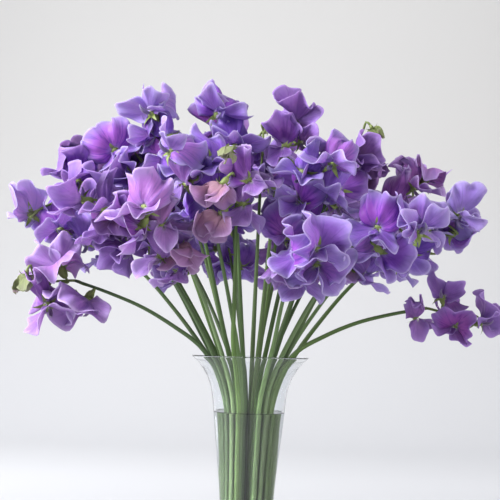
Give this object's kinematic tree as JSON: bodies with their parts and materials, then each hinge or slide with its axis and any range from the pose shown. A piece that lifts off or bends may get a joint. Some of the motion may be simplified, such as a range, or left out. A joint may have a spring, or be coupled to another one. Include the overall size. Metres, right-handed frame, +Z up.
{
  "type": "sweet pea bouquet in a glass vase",
  "caption": "Bouquet of violet sweet pea stems with ruffled blossoms, fanned out of a flared clear glass vase with water.",
  "frame": {"origin": "middle of the flat underside of the vase", "axes": "+Z up along the vase axis, +Y to the back, +X to the right seen from the front"},
  "size_m": [0.4318, 0.3265, 0.4767],
  "materials": {
    "vase_glass": "clear, polished",
    "water": "clear liquid",
    "stem_green": "satin, natural",
    "petal_violet": "soft, thin petals",
    "petal_dark": "soft, thin petals",
    "petal_mauve": "soft, thin petals"
  },
  "bodies": {
    "root": {"vase": "vase_glass", "water": "water", "stem_01": "stem_green", "stem_02": "stem_green", "stem_03": "stem_green", "stem_04": "stem_green", "stem_05": "stem_green", "stem_06": "stem_green", "stem_07": "stem_green", "stem_08": "stem_green", "stem_09": "stem_green", "stem_10": "stem_green", "stem_11": "stem_green", "stem_12": "stem_green", "stem_13": "stem_green", "stem_14": "stem_green", "stem_15": "stem_green", "stem_16": "stem_green", "stem_17": "stem_green", "stem_18": "stem_green", "stem_19": "stem_green", "stem_20": "stem_green", "stem_21": "stem_green", "stem_22": "stem_green", "stem_23": "stem_green", "stem_24": "stem_green", "stem_25": "stem_green", "stem_26": "stem_green", "stem_27": "stem_green", "stem_28": "stem_green", "stem_29": "stem_green", "flowers_01": "petal_violet", "flowers_02": "petal_dark", "flowers_03": "petal_mauve", "flowers_04": "petal_violet", "flowers_05": "petal_violet", "flowers_06": "petal_dark", "flowers_07": "petal_mauve", "flowers_08": "petal_violet", "flowers_09": "petal_violet", "flowers_10": "petal_dark", "flowers_11": "petal_mauve", "flowers_12": "petal_violet", "flowers_13": "petal_violet", "flowers_14": "petal_dark", "flowers_15": "petal_mauve", "flowers_16": "petal_violet", "flowers_17": "petal_violet", "flowers_18": "petal_dark", "flowers_19": "petal_mauve", "flowers_20": "petal_violet", "flowers_21": "petal_violet", "flowers_22": "petal_dark", "flowers_23": "petal_mauve", "flowers_24": "petal_violet", "flowers_25": "petal_violet", "flowers_26": "petal_dark", "flowers_27": "petal_mauve", "flowers_28": "petal_violet", "flowers_29": "petal_violet"}
  },
  "joints": []
}
